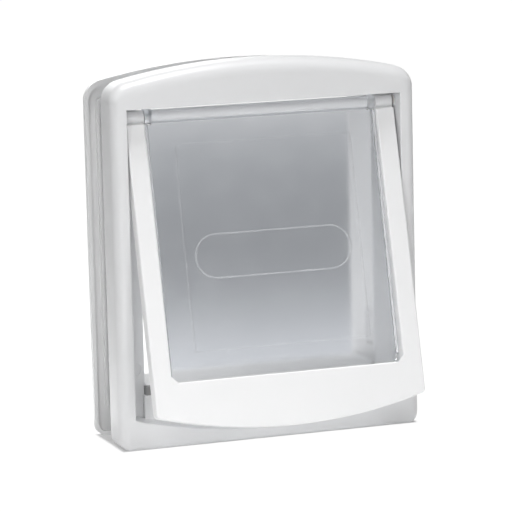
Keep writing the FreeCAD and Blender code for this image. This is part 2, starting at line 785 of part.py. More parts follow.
back_frame = doc.addObject("Part::Fillet", "back_frame")
back_frame.Base = back_opened
back_frame.Label = "back_frame"
rear_edges = []
for number, edge in enumerate(back_opened.Shape.Edges, start=1):
    box = edge.BoundBox
    flat = near(box.YMin, rear_y) and near(box.YMax, rear_y)
    reach = max(abs(box.XMin), abs(box.XMax))
    level = box.ZMin > float(sill_z) - TOUCH and box.ZMax < float(ceiling_z) + TOUCH
    inside = level and reach < float(passage_half) + TOUCH
    if flat and inside:
        rear_edges.append((number, float(size["rear_mouth_round"]), float(size["rear_mouth_round"])))
back_frame.Edges = rear_edges
doc.recompute()


# Flap surround, drawn closed with the hinge axis as its own origin

def place_on_hinge(piece, angle):
    """Moves a piece drawn about the hinge axis to its place, opened by an angle."""
    piece.setExpression("Placement.Base.y", hinge_y.text)
    piece.setExpression("Placement.Base.z", hinge_z.text)
    piece.Placement.Rotation = FreeCAD.Rotation(FreeCAD.Vector(1, 0, 0), 0)
    piece.setExpression("Placement.Rotation.Axis.x", "1")
    piece.setExpression("Placement.Rotation.Axis.y", "0")
    piece.setExpression("Placement.Rotation.Axis.z", "0")
    piece.setExpression("Placement.Rotation.Angle", (-angle).text)


doc.recompute()

flap_surround = new_body("flap_surround")
surround_sketch = new_sketch(flap_surround, "surround_outline", "XZ_Plane", -surround_front_y)
draw_loop(surround_sketch, [
    (-surround_half, -corner_drop, surround_arc, 1),
    (surround_half, -corner_drop),
    (surround_half, -size["arm_top"]),
    (aperture_half, -size["arm_top"]),
    (aperture_half, -bar_top_drop),
    (-aperture_half, -bar_top_drop),
    (-aperture_half, -size["arm_top"]),
    (-surround_half, -size["arm_top"]),
])
pad(flap_surround, "surround_slab", surround_sketch, size["surround_thickness"], reverse=True)
round_edges(
    flap_surround, "surround_tips", size["surround_corner"],
    lambda edge: near(edge.BoundBox.ZMax, -corner_drop) and near(edge.BoundBox.ZMin, -corner_drop)
    and edge.BoundBox.YLength > float(past),
)
round_edges(
    flap_surround, "surround_front_edges", size["surround_edge_round"],
    lambda edge: near(edge.BoundBox.YMax, surround_front_y) and near(edge.BoundBox.YMin, surround_front_y),
)
for side, name in ((-1, "left"), (1, "right")):
    ends = (aperture_half, barrel_tip) if side > 0 else (-barrel_tip, -aperture_half)
    neck_sketch = new_sketch(flap_surround, "neck_outline_" + name, "YZ_Plane", ends[0])
    draw_loop(neck_sketch, rectangle(
        -size["barrel_radius"] / 2, surround_back, -size["arm_top"] - past, on_axis,
    ))
    pad(flap_surround, "neck_" + name, neck_sketch, ends[1] - ends[0])
    barrel_sketch = new_sketch(flap_surround, "barrel_circle_" + name, "YZ_Plane", ends[0])
    draw_circle(barrel_sketch, on_axis, on_axis, size["barrel_radius"])
    pad(flap_surround, "barrel_" + name, barrel_sketch, ends[1] - ends[0])
    bore_sketch = new_sketch(flap_surround, "bore_circle_" + name, "YZ_Plane", ends[0] - past)
    draw_circle(bore_sketch, on_axis, on_axis, bore_radius)
    pocket(flap_surround, "bore_" + name, bore_sketch, ends[1] - ends[0] + past * 2, reverse=True)

groove_sketch = new_sketch(flap_surround, "seal_grooves_outline", "XZ_Plane", -surround_back)
for side in (-1, 1):
    middle = arm_middle * side
    draw_loop(groove_sketch, rectangle(middle - groove_half, middle + groove_half, seal_bottom, seal_top))
draw_loop(groove_sketch, rectangle(
    -bar_seal_half - size["seal_side_gap"], bar_seal_half + size["seal_side_gap"], bar_groove_bottom, bar_groove_top,
))
pocket(flap_surround, "seal_grooves", groove_sketch, size["seal_groove"])

keeper_sketch = new_sketch(flap_surround, "keeper_outline", "XZ_Plane", -surround_back)
recess_gap = size["recess_gap"]
draw_loop(keeper_sketch, rectangle(
    -keeper_half - recess_gap, keeper_half + recess_gap, keeper_bottom - recess_gap, keeper_top + recess_gap,
))
pocket(flap_surround, "keeper_groove", keeper_sketch, size["keeper_thickness"])

# The belly of the bottom bar is hollow from behind, with short ribs across it
doc.recompute()
belly_sketch = new_sketch(flap_surround, "belly_outline", "XZ_Plane", -surround_back)
draw_loop(belly_sketch, [
    (-belly_half, belly_end, belly_arc, 1),
    (belly_half, belly_end),
    (belly_half, belly_top),
    (-belly_half, belly_top),
])
pocket(flap_surround, "belly_hollow", belly_sketch, size["surround_thickness"] - size["bar_wall"])
ribs_sketch = new_sketch(flap_surround, "belly_ribs_outline", "XZ_Plane", -surround_back)
for place in (-1, 0, 1):
    middle = belly_half / 2 * place
    rib_depth = belly_centre - belly_arc - join
    lift = middle * middle / (belly_arc * 2)
    draw_loop(ribs_sketch, rectangle(
        middle - size["bar_rib"] / 2, middle + size["bar_rib"] / 2, rib_depth + lift, belly_top + join,
    ))
pad(flap_surround, "belly_ribs", ribs_sketch, size["surround_thickness"] - size["bar_wall"] / 2)

# A thin web across each lower corner of the aperture stops the window from the front
web_sketch = new_sketch(flap_surround, "stop_web_outline", "XZ_Plane", -surround_front_y)
for side in (-1, 1):
    outer = (aperture_half + join) * side
    inner = (aperture_half - size["stop_web"]) * side
    low = -bar_top_drop - join
    high = -bar_top_drop + size["stop_web"]
    draw_loop(web_sketch, [(inner, low), (outer, low), (outer, high)])
pad(flap_surround, "stop_webs", web_sketch, size["stop_web_thickness"], reverse=True)
place_on_hinge(flap_surround, surround_open)


# Clear window, drawn closed about the same hinge axis

doc.recompute()

flap_window = new_body("flap_window")
plate_sketch = new_sketch(flap_window, "plate_outline", "XZ_Plane", -window_front_y)
corner = size["window_corner"]
draw_loop(plate_sketch, [
    (-window_half + corner, -window_drop), (window_half - corner, -window_drop, corner, 1),
    (window_half, -window_drop + corner), (window_half, plate_top),
    (knuckle_half, plate_top), (knuckle_half, on_axis),
    (-knuckle_half, on_axis), (-knuckle_half, plate_top),
    (-window_half, plate_top), (-window_half, -window_drop + corner, corner, 1),
])
pad(flap_window, "plate", plate_sketch, size["window_thickness"], reverse=True)
knuckle_sketch = new_sketch(flap_window, "knuckle_circle", "YZ_Plane", -knuckle_half)
draw_circle(knuckle_sketch, on_axis, on_axis, size["knuckle_radius"])
pad(flap_window, "knuckle", knuckle_sketch, knuckle_half * 2)
for side, name in ((-1, "left"), (1, "right")):
    ends = (knuckle_half - join, cheek_tip) if side > 0 else (-cheek_tip, -knuckle_half + join)
    cheek_sketch = new_sketch(flap_window, "cheek_circle_" + name, "YZ_Plane", ends[0])
    draw_circle(cheek_sketch, on_axis, on_axis, size["cheek_radius"])
    pad(flap_window, "cheek_" + name, cheek_sketch, ends[1] - ends[0])
rod_hole_sketch = new_sketch(flap_window, "rod_hole_circle", "YZ_Plane", -cheek_tip - past)
draw_circle(rod_hole_sketch, on_axis, on_axis, bore_radius)
pocket(flap_window, "rod_hole", rod_hole_sketch, cheek_tip * 2 + past * 2, reverse=True)


def stadium(half_length, half_height, middle):
    return [
        (-half_length + half_height, middle - half_height),
        (half_length - half_height, middle - half_height, half_height, 1),
        (half_length, middle, half_height, 1),
        (half_length - half_height, middle + half_height),
        (-half_length + half_height, middle + half_height, half_height, 1),
        (-half_length, middle, half_height, 1),
    ]


line_sketch = new_sketch(flap_window, "moulded_lines_outline", "XZ_Plane", -window_front_y)
line_width = size["line_width"]
draw_loop(line_sketch, rounded_rectangle(
    -border_half, border_half, border_low, -size["border_top_drop"], size["window_corner"],
))
draw_loop(line_sketch, rounded_rectangle(
    -border_half + line_width, border_half - line_width,
    border_low + line_width, -size["border_top_drop"] - line_width, size["window_corner"] / 2,
))
doc.recompute()
draw_loop(line_sketch, stadium(oval_half, oval_rise, oval_middle))
draw_loop(line_sketch, stadium(oval_half - line_width, oval_rise - line_width, oval_middle))
pocket(flap_window, "moulded_lines", line_sketch, size["line_depth"], reverse=True)
place_on_hinge(flap_window, surround_open - size["window_lag_angle"])


# Hinge rod and its bushes

hinge_rod = side_disc("hinge_rod", hinge_y, hinge_z, size["rod_radius"], -rod_tip, rod_tip)

for side, name in ((-1, "left"), (1, "right")):
    bush = new_body("hinge_bush_" + name)
    inner = pocket_half * side
    section = new_sketch(bush, "bush_section_" + name, "XY_Plane")
    flange_x = (pocket_half - size["bush_flange_thickness"]) * side
    tip_x = (pocket_half + size["bush_length"]) * side
    hole_x = (pocket_half + size["bush_length"] - size["bush_end"]) * side
    draw_loop(section, [
        (flange_x, bore_radius), (hole_x, bore_radius), (hole_x, on_axis), (tip_x, on_axis),
        (tip_x, size["bush_radius"]), (inner, size["bush_radius"]),
        (inner, size["bush_flange"]), (flange_x, size["bush_flange"]),
    ])
    turned = bush.newObject("PartDesign::Revolution", "bush_turning_" + name)
    turned.Profile = section
    turned.ReferenceAxis = (section, ["H_Axis"])
    turned.Angle = 360
    bush.setExpression("Placement.Base.y", hinge_y.text)
    bush.setExpression("Placement.Base.z", hinge_z.text)
    doc.recompute()


# Sill magnet, steel keeper and pile seals

sill_magnet = front_solid(
    "sill_magnet", [rectangle(-magnet_half, magnet_half, magnet_low, sill_z)],
    magnet_y, ledge_y + size["magnet_recess"],
)
bar_keeper = front_solid(
    "bar_keeper", [rectangle(-keeper_half, keeper_half, keeper_bottom, keeper_top)],
    surround_back - size["keeper_thickness"], surround_back,
)
place_on_hinge(bar_keeper, surround_open)

for side, name in ((-1, "left"), (1, "right")):
    middle = arm_middle * side
    arm_seal = front_solid(
        "arm_seal_" + name,
        [rectangle(
            middle - size["seal_width"] / 2, middle + size["seal_width"] / 2,
            seal_bottom + size["seal_side_gap"], seal_top - size["seal_side_gap"],
        )],
        seal_root, seal_tip,
    )
    place_on_hinge(arm_seal, surround_open)
bar_seal = front_solid(
    "bar_seal",
    [rectangle(
        -bar_seal_half, bar_seal_half, bar_seal_bottom, bar_seal_top,
    )],
    seal_root, bar_seal_tip,
)
place_on_hinge(bar_seal, surround_open)


# Fixing screws and the caps over their heads

doc.recompute()
screw_nodes = []
for tag, (at_x, at_z) in screw_places.items():
    screw = new_body("fixing_screw_" + tag)
    section = new_sketch(screw, "screw_section_" + tag, "YZ_Plane")
    head_top = head_seat_y + size["head_height"]
    draw_loop(section, [
        (screw_tip_y, on_axis),
        (screw_tip_y + size["screw_radius"], size["screw_radius"]),
        (head_seat_y, size["screw_radius"]),
        (head_seat_y, size["head_radius"]),
        (head_seat_y + size["head_height"] / 2, size["head_radius"]),
        (head_top, size["head_top_radius"]),
        (head_top, on_axis),
    ])
    turned = screw.newObject("PartDesign::Revolution", "screw_turning_" + tag)
    turned.Profile = section
    turned.ReferenceAxis = (section, ["H_Axis"])
    turned.Angle = 360
    doc.recompute()
    slot_sketch = new_sketch(screw, "cross_slot_" + tag, "XZ_Plane", -head_top)
    slot = size["cross_width"] / 2
    reach = size["cross_length"] / 2
    draw_loop(slot_sketch, [
        (-reach, -slot), (-slot, -slot), (-slot, -reach), (slot, -reach), (slot, -slot), (reach, -slot),
        (reach, slot), (slot, slot), (slot, reach), (-slot, reach), (-slot, slot), (-reach, slot),
    ])
    pocket(screw, "cross_" + tag, slot_sketch, size["cross_depth"])
    screw.setExpression("Placement.Base.x", at_x.text)
    screw.setExpression("Placement.Base.z", at_z.text)
    screw_nodes.append(screw.Label)

    cap = new_body("screw_cap_" + tag)
    section = new_sketch(cap, "cap_section_" + tag, "YZ_Plane")
    skirt_y = head_seat_y + size["cap_gap"]
    draw_loop(section, [
        (rear_y, on_axis), (rear_y - size["cap_end"], on_axis), (rear_y - size["cap_end"], cap_inner),
        (skirt_y, cap_inner), (skirt_y, cap_outer), (rear_y - size["cap_wall"], cap_outer),
        (rear_y, cap_inner),
    ])
    turned = cap.newObject("PartDesign::Revolution", "cap_turning_" + tag)
    turned.Profile = section
    turned.ReferenceAxis = (section, ["H_Axis"])
    turned.Angle = 360
    cap.setExpression("Placement.Base.x", at_x.text)
    cap.setExpression("Placement.Base.z", at_z.text)
    screw_nodes.append(cap.Label)
doc.recompute()


# Checks on the finished document, then one file for each piece

NODES = [
    "front_frame", "back_frame", "flap_surround", "flap_window", "hinge_rod",
    "hinge_bush_left", "hinge_bush_right", "sill_magnet", "bar_keeper",
    "arm_seal_left", "arm_seal_right", "bar_seal",
] + screw_nodes

for item in doc.Objects:
    if "Invalid" in item.State or "Error" in item.State:
        raise RuntimeError("%s failed: %s" % (item.Label, item.State))

os.makedirs("parts", exist_ok=True)
pieces = {}
for node in NODES:
    piece = doc.getObjectsByLabel(node)[0]
    shape = piece.Shape
    if shape.isNull() or not shape.isValid() or len(shape.Solids) != 1:
        raise RuntimeError("%s has no single valid solid" % node)
    pieces[node] = shape
for node, shape in pieces.items():
    shape.exportStep("parts/%s.step" % node)
    box = shape.BoundBox
    print("%-26s %9.0f mm3  x %7.2f %7.2f  y %7.2f %7.2f  z %7.2f %7.2f" % (
        node, shape.Volume, box.XMin, box.XMax, box.YMin, box.YMax, box.ZMin, box.ZMax,
    ))
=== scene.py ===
"""A two-way cat flap: two white frames, a hinged white surround and a tinted window.

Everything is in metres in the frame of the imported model: X to the right, Y into the
door, Z up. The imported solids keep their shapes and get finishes. The pile, the screw
threads, the sleeves on the hinge and the beads beside the window are surfaces worked
out here as whole arrays.
"""

import json
import logging
import math
from dataclasses import dataclass
from enum import Enum, auto
from typing import Sequence

import bmesh
import bpy
import numpy as np
from mathutils import Matrix, Vector

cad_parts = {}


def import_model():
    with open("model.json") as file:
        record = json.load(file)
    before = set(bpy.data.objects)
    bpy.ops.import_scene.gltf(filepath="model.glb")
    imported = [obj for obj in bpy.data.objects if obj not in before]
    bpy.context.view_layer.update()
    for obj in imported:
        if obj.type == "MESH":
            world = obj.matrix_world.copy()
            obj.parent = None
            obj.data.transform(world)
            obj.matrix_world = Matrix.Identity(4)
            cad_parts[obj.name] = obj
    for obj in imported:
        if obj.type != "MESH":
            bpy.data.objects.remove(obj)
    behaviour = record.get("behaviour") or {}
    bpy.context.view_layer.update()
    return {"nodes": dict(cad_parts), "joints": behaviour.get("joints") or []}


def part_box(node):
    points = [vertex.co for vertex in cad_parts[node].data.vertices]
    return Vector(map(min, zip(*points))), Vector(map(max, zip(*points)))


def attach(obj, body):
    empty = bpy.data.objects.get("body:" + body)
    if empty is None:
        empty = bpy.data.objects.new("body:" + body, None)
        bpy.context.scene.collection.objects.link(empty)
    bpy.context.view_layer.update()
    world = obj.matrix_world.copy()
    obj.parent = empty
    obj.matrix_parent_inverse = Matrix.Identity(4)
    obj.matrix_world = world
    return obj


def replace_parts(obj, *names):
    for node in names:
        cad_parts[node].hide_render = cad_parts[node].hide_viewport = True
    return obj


LOG = logging.getLogger("cat_flap")
MM = 0.001
TURN = 2 * math.pi
WELD = 1e-7
WHITE = (1.0, 1.0, 1.0, 1.0)
PLASTIC_IOR = 1.49


class Body(Enum):
    """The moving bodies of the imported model."""

    FRAMES = "frames"
    SURROUND = "surround"
    WINDOW = "window"


class Spot(Enum):
    """A named place on the flap."""

    def named(self, piece: str) -> str:
        """The name of the piece at this place."""
        return f"{piece}_{self.name.lower()}"


class Side(Spot):
    """The two sides, each as the sign of its X."""

    LEFT = -1.0
    RIGHT = 1.0


class Corner(Spot):
    """The four corners where screws hold the frames together."""

    LOWER_LEFT = auto()
    LOWER_RIGHT = auto()
    UPPER_LEFT = auto()
    UPPER_RIGHT = auto()


@dataclass(frozen=True)
class Hinge:
    """The axis that both flaps hang on, and how far each of them stands open at rest."""

    y: float
    z: float
    surround: float
    window: float = math.radians(12.55)

    @classmethod
    def of(cls, joints: Sequence[dict]) -> "Hinge":
        """Reads the axis and the surround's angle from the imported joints.

        Args:
            joints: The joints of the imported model.

        Returns:
            The hinge.
        """
        joint = next(joint for joint in joints if joint["name"] == "surround_hinge")
        return cls(joint["pos_m"][1], joint["pos_m"][2], math.radians(-joint["range_deg"][0]))

    def hang(self, points: np.ndarray, angle: float) -> np.ndarray:
        """Hangs points on the axis and opens them outwards.

        A point's y becomes y * cos + z * sin and its z becomes z * cos - y * sin, both
        counted from the axis.

        Args:
            points: Places from the axis, as a flap that hangs straight down has them.
            angle: How far the flap is open, in radians.

        Returns:
            The places in the model's frame.
        """
        x, y, z = points[..., 0], points[..., 1], points[..., 2]
        return np.stack([
            x, self.y + y * math.cos(angle) + z * math.sin(angle),
            self.z - y * math.sin(angle) + z * math.cos(angle),
        ], -1)


class Sheet:
    """A material's node tree with short calls to add and join nodes."""

    def __init__(self, name: str) -> None:
        """Starts an empty node tree.

        Args:
            name: The material's name.
        """
        self.material = bpy.data.materials.new(name)
        self.material.use_nodes = True
        self.tree = self.material.node_tree
        self.tree.nodes.clear()
        self.output = self.tree.nodes.new("ShaderNodeOutputMaterial")

    def node(self, kind: str, sockets: dict | None = None, **settings: object) -> bpy.types.Node:
        """Adds a node.

        Args:
            kind: The node's type without its ShaderNode prefix.
            sockets: Input socket name or number to a value or another node's output.
            settings: The node's own properties.

        Returns:
            The new node.
        """
        made = self.tree.nodes.new("ShaderNode" + kind)
        for key, value in settings.items():
            setattr(made, key, value)
        for key, value in (sockets or {}).items():
            if isinstance(value, bpy.types.NodeSocket):
                self.tree.links.new(value, made.inputs[key])
            else:
                made.inputs[key].default_value = value
        return made

    def math(self, operation: str, *values: object) -> bpy.types.NodeSocket:
        """Adds a Math node and returns its result."""
        made = self.node("Math", dict(enumerate(values)), operation=operation)
        return made.outputs[0]

    def from_middle(self, place: object, middle: float = 0.0) -> bpy.types.NodeSocket:
        """Returns how far a place lies from the middle, on either side."""
        return self.math("ABSOLUTE", self.math("SUBTRACT", place, middle))

    def ramp(self, value: object, low: float, high: float, start: float, end: float) -> bpy.types.NodeSocket:
        """Maps a value smoothly from one span to another and holds it at the ends.

        Args:
            value: The value to map.
            low: Where the first span begins.
            high: Where the first span ends.
            start: The result at low.
            end: The result at high.

        Returns:
            The result.
        """
        made = self.node(
            "MapRange",
            {"Value": value, "From Min": low, "From Max": high, "To Min": start, "To Max": end},
            interpolation_type="SMOOTHSTEP",
        )
        return made.outputs["Result"]

    def blend(self, factor: object, first: Sequence[float], second: Sequence[float]) -> bpy.types.NodeSocket:
        """Mixes two colours of three parts each and returns the result."""
        made = self.node("Mix", {0: factor, 6: (*first, 1.0), 7: (*second, 1.0)}, data_type="RGBA")
        return made.outputs[2]

    def places(self) -> bpy.types.NodeSocket:
        """Returns the object coordinates, in metres."""
        return self.node("TexCoord").outputs["Object"]

    def noise(self, places: object, scale: float, detail: float = 2.0) -> bpy.types.NodeSocket:
        """Adds smooth noise over the given places and returns its height from 0 to 1."""
        made = self.node("TexNoise", {"Vector": places, "Scale": scale, "Detail": detail})
        return made.outputs[0]

    def bump(self, height: object, distance: float, under: object = None) -> bpy.types.NodeSocket:
        """Adds a bump.

        Args:
            height: The height from 0 to 1.
            distance: How many metres a height of 1 stands for.
            under: The normal of a bump that this one lies on.

        Returns:
            The bumped normal.
        """
        sockets = {"Height": height, "Distance": distance, "Strength": 1.0}
        if under is not None:
            sockets["Normal"] = under
        return self.node("Bump", sockets).outputs[0]

    def switch(self, factor: object, off: bpy.types.Node, on: bpy.types.Node) -> bpy.types.Node:
        """Adds a mix of two shaders and returns its node."""
        return self.node("MixShader", {0: factor, 1: off.outputs[0], 2: on.outputs[0]})

    def close(self, shader: bpy.types.Node) -> bpy.types.Material:
        """Joins a shader to the output and returns the material."""
        self.tree.links.new(shader.outputs[0], self.output.inputs[0])
        return self.material

    def finish(self, sockets: dict) -> bpy.types.Material:
        """Joins a Principled shader with these inputs to the output and returns the material."""
        return self.close(self.node("BsdfPrincipled", sockets))


@dataclass(frozen=True)
class MouldedWhite:
    """White injection-moulded plastic: faint flow waves, fine grain, uneven gloss."""

    name: str = "moulded_white"
    colour: tuple = (0.785, 0.789, 0.797)
    roughness: float = 0.36
    shade: float = 0.99
    wave: float = 0.03 * MM
    wave_scale: float = 14.0
    grain: float = 0.004 * MM
    grain_scale: float = 2600.0
    tone_scale: float = 32.0
    glow: float = 0.08
    glow_depth: float = 1.5 * MM

    def make(self) -> bpy.types.Material:
        """Builds the finish.

        Returns:
            The finished material.
        """
        sheet = Sheet(self.name)
        places = sheet.places()
        waves = sheet.noise(places, self.wave_scale, 1.0)
        grain = sheet.noise(places, self.grain_scale, 2.0)
        tone = sheet.noise(places, self.tone_scale, 3.0)
        shade = tuple(self.shade * part for part in self.colour)
        return sheet.finish({
            "Base Color": sheet.blend(sheet.ramp(tone, 0.2, 0.8, 0.0, 1.0), self.colour, shade),
            "Roughness": sheet.ramp(tone, 0.2, 0.8, self.roughness - 0.015, self.roughness + 0.02),
            "Normal": sheet.bump(grain, self.grain, sheet.bump(waves, self.wave)), "IOR": PLASTIC_IOR,
            "Subsurface Weight": self.glow, "Subsurface Radius": (1.0, 1.0, 1.0),
            "Subsurface Scale": self.glow_depth,
        })


@dataclass(frozen=True)
class MouldedLine:
    """A milky line round a rectangle with rounded corners, below the hinge on the window."""

    half: tuple
    middle: float
    corner: float
    milk: float
    width: float = 0.8 * MM

    def drawn(self, sheet: Sheet, across: object, up: object) -> bpy.types.NodeSocket:
        """Draws the line, soft at its edges, just inside the rectangle.

        The distance to the rectangle is the length of the two overshoots past the corners'
        middles, less the corner radius; where both overshoots are negative, it is the
        greater one less the radius.

        Args:
            sheet: The node tree.
            across: The place across the window.
            up: The place along the window.

        Returns:
            How milky the window is: the line's strength on it and 0 off it.
        """
        over_x = sheet.math("SUBTRACT", sheet.from_middle(across), self.half[0] - self.corner)
        over_z = sheet.math("SUBTRACT", sheet.from_middle(up, self.middle), self.half[1] - self.corner)
        long_x, long_z = (sheet.math("MAXIMUM", over, 0.0) for over in (over_x, over_z))
        squares = sheet.math("ADD", sheet.math("POWER", long_x, 2.0), sheet.math("POWER", long_z, 2.0))
        inside = sheet.math("MINIMUM", sheet.math("MAXIMUM", over_x, over_z), 0.0)
        distance = sheet.math("SUBTRACT", sheet.math("ADD", sheet.math("SQRT", squares), inside), self.corner)
        from_line = sheet.from_middle(distance, -self.width / 2)
        return sheet.ramp(from_line, self.width * 0.3, self.width * 0.75, self.milk, 0.0)


@dataclass(frozen=True)
class TintedClear:
    """Smoke-tinted clear plastic with two milky lines, frosted on the knuckle.

    The lines lie in the window's own plane, which passes through the hinge axis.
    """

    hinge: Hinge
    name: str = "tinted_clear"
    milk: float = 0.0
    colour: tuple = (0.95, 0.96, 0.975)
    shadow: tuple = (0.66, 0.665, 0.67)
    frosting: float = 0.16
    knuckle_frosting: float = 0.5
    knuckle_edge: tuple = (-5.2 * MM, -4.2 * MM)
    wave: float = 0.04 * MM
    border: MouldedLine = MouldedLine((57.5 * MM, 63.9 * MM), -81.7 * MM, 2.0 * MM, 0.06)
    oval: MouldedLine = MouldedLine((51.0 * MM, 13.8 * MM), -88.0 * MM, 13.79 * MM, 0.15)

    def make(self) -> bpy.types.Material:
        """Builds the finish.

        Returns:
            The finished material.
        """
        sheet = Sheet(self.name)
        places = sheet.places()
        shifted = sheet.node("Mapping", {"Vector": places, "Location": (0.0, -self.hinge.y, -self.hinge.z)})
        hanging = (self.hinge.window, 0.0, 0.0)
        turned = sheet.node("Mapping", {"Vector": shifted.outputs[0], "Rotation": hanging})
        parts = sheet.node("SeparateXYZ", {0: turned.outputs[0]})
        across, up = parts.outputs[0], parts.outputs[2]
        milky = sheet.math("MAXIMUM", *(line.drawn(sheet, across, up) for line in (self.border, self.oval)))
        cloud = sheet.noise(places, 60.0, 3.0)
        cloudy = sheet.ramp(cloud, 0.3, 0.7, self.frosting * 0.9, self.frosting * 1.1)
        knuckle = sheet.ramp(up, *self.knuckle_edge, 0.0, self.knuckle_frosting)
        clear = sheet.node("BsdfPrincipled", {
            "Base Color": (*self.colour, 1.0), "Roughness": sheet.math("MAXIMUM", cloudy, knuckle),
            "IOR": PLASTIC_IOR, "Transmission Weight": sheet.math("SUBTRACT", 1.0 - self.milk, milky),
            "Normal": sheet.bump(sheet.noise(places, 9.0, 1.0), self.wave),
        })
        lamps = sheet.node("BsdfTransparent", {0: (*self.shadow, 1.0)})
        return sheet.close(sheet.switch(sheet.node("LightPath").outputs["Is Shadow Ray"], clear, lamps))


@dataclass(frozen=True)
class BrushedSteel:
    """Bright drawn steel with fine lines along X."""

    name: str = "brushed_steel"
    colour: tuple = (0.62, 0.62, 0.63)
    stretch: tuple = (40.0, 2400.0, 2400.0)
    line_depth: float = 0.006 * MM

    def make(self) -> bpy.types.Material:
        """Builds the finish.

        Returns:
            The finished material.
        """
        sheet = Sheet(self.name)
        stretched = sheet.node("Mapping", {"Vector": sheet.places(), "Scale": self.stretch})
        lines = sheet.noise(stretched.outputs[0], 1.0, 3.0)
        return sheet.finish({
            "Base Color": (*self.colour, 1.0), "Metallic": 1.0,
            "Roughness": sheet.ramp(lines, 0.3, 0.7, 0.22, 0.4), "Normal": sheet.bump(lines, self.line_depth),
        })


@dataclass(frozen=True)
class FerriteRubber:
    """Dark flexible magnet: matt, with fine light specks."""

    name: str = "ferrite_rubber"
    colour: tuple = (0.27, 0.27, 0.27)
    speck: tuple = (0.4, 0.395, 0.39)
    speck_scale: float = 3200.0
    cloud_scale: float = 240.0
    cloud_depth: float = 0.03 * MM

    def make(self) -> bpy.types.Material:
        """Builds the finish.

        Returns:
            The finished material.
        """
        sheet = Sheet(self.name)
        places = sheet.places()
        specks = sheet.ramp(sheet.noise(places, self.speck_scale, 1.0), 0.62, 0.8, 0.0, 1.0)
        cloud = sheet.noise(places, self.cloud_scale, 3.0)
        return sheet.finish({
            "Base Color": sheet.blend(specks, self.colour, self.speck),
            "Roughness": sheet.ramp(cloud, 0.3, 0.7, 0.5, 0.68),
            "Normal": sheet.bump(cloud, self.cloud_depth),
        })


@dataclass(frozen=True)
class PileCloth:
    """Pale woven pile with loose fibre tips."""

    name: str = "pile_cloth"
    colour: tuple = (0.62, 0.62, 0.6)
    shade: float = 0.6
    fibre_scale: float = 1800.0
    fibre_depth: float = 0.2 * MM

    def make(self) -> bpy.types.Material:
        """Builds the finish.

        Returns:
            The finished material.
        """
        sheet = Sheet(self.name)
        fibres = sheet.noise(sheet.places(), self.fibre_scale, 2.0)
        shade = tuple(self.shade * part for part in self.colour)
        return sheet.finish({
            "Base Color": sheet.blend(sheet.ramp(fibres, 0.3, 0.7, 0.0, 1.0), shade, self.colour),
            "Roughness": 0.9, "Sheen Weight": 0.4, "Sheen Roughness": 0.5,
            "Normal": sheet.bump(fibres, self.fibre_depth),
        })


@dataclass(frozen=True)
class WaxyNylon:
    """Off-white nylon, a little waxy."""

    name: str = "nylon"
    colour: tuple = (0.7, 0.7, 0.68)
    shade: float = 0.93
    cloud_scale: float = 420.0
    cloud_depth: float = 0.01 * MM

    def make(self) -> bpy.types.Material:
        """Builds the finish.

        Returns:
            The finished material.
        """
        sheet = Sheet(self.name)
        cloud = sheet.noise(sheet.places(), self.cloud_scale, 3.0)
        shade = tuple(self.shade * part for part in self.colour)
        return sheet.finish({
            "Base Color": sheet.blend(cloud, self.colour, shade),
            "Roughness": sheet.ramp(cloud, 0.3, 0.7, 0.38, 0.5),
            "Normal": sheet.bump(cloud, self.cloud_depth),
            "Subsurface Weight": 0.1, "Subsurface Scale": 1.0 * MM,
        })


def dress(nodes: dict, names: Sequence[str], material: bpy.types.Material) -> None:
    """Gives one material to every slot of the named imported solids.

    Args:
        nodes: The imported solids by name.
        names: Which of them to dress.
        material: The finish.
    """
    for name in names:
        for slot in nodes[name].material_slots:
            slot.material = material
        LOG.info("dressed %s in %s", name, material.name)


def grid_faces(rows: int, columns: int) -> np.ndarray:
    """Quads of a grid whose columns close round on themselves.

    Args:
        rows: How many rings of points.
        columns: Points in each ring.

    Returns:
        (rows - 1) * columns rows of four corner numbers.
    """
    index = np.arange(rows * columns).reshape(rows, columns)
    beside = np.roll(index, -1, 1)
    return np.stack([index[:-1], beside[:-1], beside[1:], index[1:]], -1).reshape(-1, 4)


def padded(faces: np.ndarray, corners: int) -> np.ndarray:
    """Widens faces to rows of so many corners, with -1 in the places that stay empty."""
    return np.pad(faces, ((0, 0), (0, corners - faces.shape[1])), constant_values=-1)


def moved_on(faces: np.ndarray, step: int | np.ndarray) -> np.ndarray:
    """Adds to the corner numbers of faces and leaves their empty places."""
    return np.where(faces < 0, -1, faces + step)


def squared_ring(count: int, power: float) -> tuple:
    """Points round a superellipse, |a| to the power + |b| to the power = 1.

    Args:
        count: How many points.
        power: 2 gives a circle, and more gives a squarer ring.

    Returns:
        The two coordinates, a and b.
    """
    angle = np.arange(count) * TURN / count
    a, b = np.cos(angle), np.sin(angle)
    return np.sign(a) * np.abs(a) ** (2 / power), np.sign(b) * np.abs(b) ** (2 / power)


def closed_run(along: np.ndarray, size: np.ndarray) -> tuple:
    """Adds a row of size 0 at each end of a run, so that its section closes to a point.

    Args:
        along: The place of each row.
        size: The section's size at each row.

    Returns:
        The places and the sizes, as columns.
    """
    places = np.concatenate([along[:1], along, along[-1:]])
    return places[:, None], np.concatenate([[0.0], size, [0.0]])[:, None]


def new_mesh(name: str, points: np.ndarray, faces: np.ndarray) -> bpy.types.Mesh:
    """Puts points and faces into a mesh as whole arrays.

    Args:
        name: The mesh's name.
        points: N x 3 places in metres.
        faces: Rows of corner numbers, all of one length; -1 pads a shorter face.

    Returns:
        The mesh.
    """
    used = faces >= 0
    counts = used.sum(1)
    mesh = bpy.data.meshes.new(name)
    mesh.vertices.add(len(points))
    mesh.vertices.foreach_set("co", points.astype(np.float32).ravel())
    mesh.loops.add(int(counts.sum()))
    mesh.loops.foreach_set("vertex_index", faces[used].astype(np.int32))
    mesh.polygons.add(len(faces))
    mesh.polygons.foreach_set("loop_start", (np.cumsum(counts) - counts).astype(np.int32))
    mesh.update(calc_edges=True)
    return mesh


